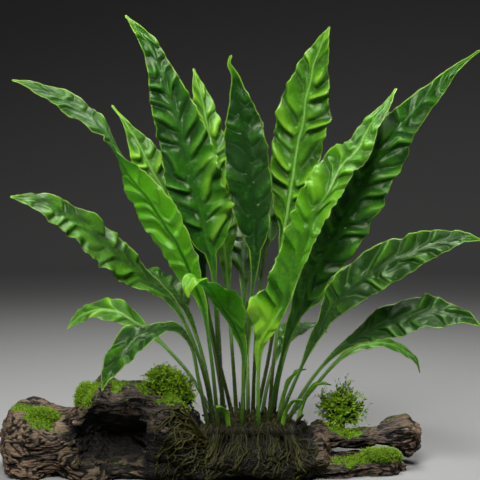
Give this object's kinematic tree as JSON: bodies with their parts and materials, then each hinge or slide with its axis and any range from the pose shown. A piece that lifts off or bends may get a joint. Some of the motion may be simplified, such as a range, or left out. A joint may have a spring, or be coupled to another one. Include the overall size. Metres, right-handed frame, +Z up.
{
  "type": "java fern on driftwood",
  "caption": "Java fern with long strap-shaped fronds fanning from a creeping rhizome, rooted with moss on a low gnarled piece of driftwood with a flat underside.",
  "frame": {"origin": "on the flat underside of the driftwood, below the middle of the fern's crown", "axes": "+Z up, -Y towards the front of the plant, +X to the right along the driftwood"},
  "size_m": [0.2865, 0.1623, 0.271],
  "materials": {
    "frond_dark": "satin",
    "frond": "satin",
    "frond_lit": "satin",
    "frond_young": "satin",
    "rhizome": "matte",
    "roots": "matte",
    "moss": "matte",
    "driftwood_pale": "matte",
    "driftwood_dark": "matte"
  },
  "bodies": {
    "root": {"driftwood_left_limb": "driftwood_pale", "driftwood_log": "driftwood_dark", "driftwood_lower_branch": "driftwood_dark", "driftwood_upper_branch": "driftwood_dark", "frond_arching_right": "frond", "frond_centre": "frond_dark", "frond_curled_front": "frond_lit", "frond_drooping_left": "frond", "frond_drooping_right": "frond_lit", "frond_front_right": "frond_lit", "frond_left_of_centre": "frond", "frond_long_right": "frond_dark", "frond_low_right": "frond", "frond_rear_1": "frond", "frond_rear_2": "frond", "frond_rear_3": "frond", "frond_rear_4": "frond", "frond_rear_5": "frond", "frond_rear_6": "frond", "frond_rear_7": "frond", "frond_rear_8": "frond", "frond_rear_left": "frond", "frond_rear_left_low": "frond", "frond_shaded_centre": "frond_dark", "frond_tall_left": "frond_dark", "frond_tall_right": "frond", "frond_twisted_left": "frond_lit", "frond_wavy_left": "frond", "frond_young_1": "frond_young", "frond_young_2": "frond_young", "frond_young_3": "frond_young", "frond_young_4": "frond_young", "moss_ledge_end": "moss", "moss_left_end": "moss", "moss_lower_right": "moss", "moss_on_ledge": "moss", "moss_tuft_right": "moss", "rhizome_back_branch": "rhizome", "rhizome_front_branch": "rhizome", "rhizome_main_stem": "rhizome", "rhizome_rear_branch": "rhizome", "root_mat_back": "roots", "root_mat_front": "roots"}
  },
  "joints": []
}
